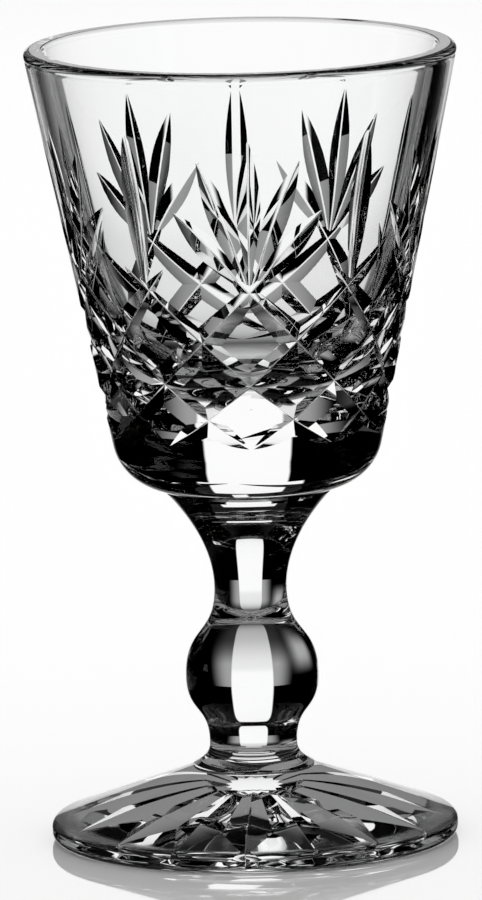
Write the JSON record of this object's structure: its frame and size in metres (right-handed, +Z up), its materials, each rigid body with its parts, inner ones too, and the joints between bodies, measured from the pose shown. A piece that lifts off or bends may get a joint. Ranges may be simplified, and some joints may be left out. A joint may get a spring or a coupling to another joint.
{
  "type": "liqueur glass",
  "caption": "Stemmed liqueur glass: a tapered bowl cut with fans over a lattice of diamonds, a knopped stem and a low conical foot with a star cut under it, for serving small drinks.",
  "frame": {"origin": "centre of the ring on which the foot rests, on the surface that the glass stands on", "axes": "+Z up the axis of the stem to the rim; -Y is the pictured front"},
  "size_m": [0.0514, 0.0514, 0.095],
  "materials": {
    "bowl_glass": "clear cut crystal, polished",
    "stem_glass": "clear crystal, fire polished",
    "foot_glass": "clear crystal, polished, with a star cut under it"
  },
  "bodies": {
    "root": {"bowl": "bowl_glass", "stem": "stem_glass", "foot": "foot_glass"}
  },
  "joints": []
}
